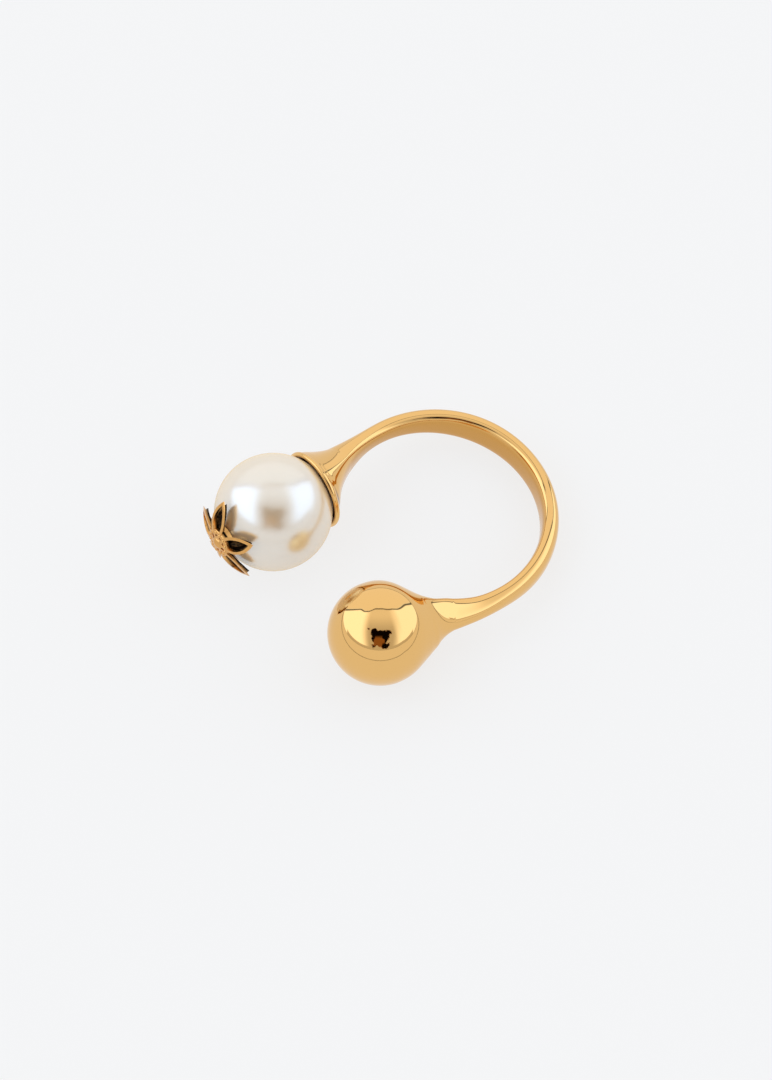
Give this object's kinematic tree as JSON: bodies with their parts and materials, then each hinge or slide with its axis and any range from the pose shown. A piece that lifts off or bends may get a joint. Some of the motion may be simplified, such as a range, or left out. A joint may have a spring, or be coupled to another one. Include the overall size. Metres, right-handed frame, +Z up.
{
  "type": "open cuff ring",
  "caption": "Open cuff ring whose gold band ends in a solid ball and, across a gap, in a flared cup that holds a pearl tipped with a pierced leaf cap.",
  "frame": {"origin": "bottom centre of the box of the ring as it lies on its side, on the surface it rests on", "axes": "+Z up from that surface, +Y from the opening towards the back of the hoop, +X from the pearl towards the ball"},
  "size_m": [0.0236, 0.0289, 0.01],
  "materials": {
    "polished_gold": "mirror polished, gold plated",
    "pearl": "satin nacre",
    "post_brass": "plain drawn wire",
    "darkened_gold": "antiqued, dark in the cells and bright on the rims"
  },
  "bodies": {
    "root": {"band": "polished_gold", "pearl": "pearl", "pearl_post": "post_brass", "end_cap": "darkened_gold"}
  },
  "joints": []
}
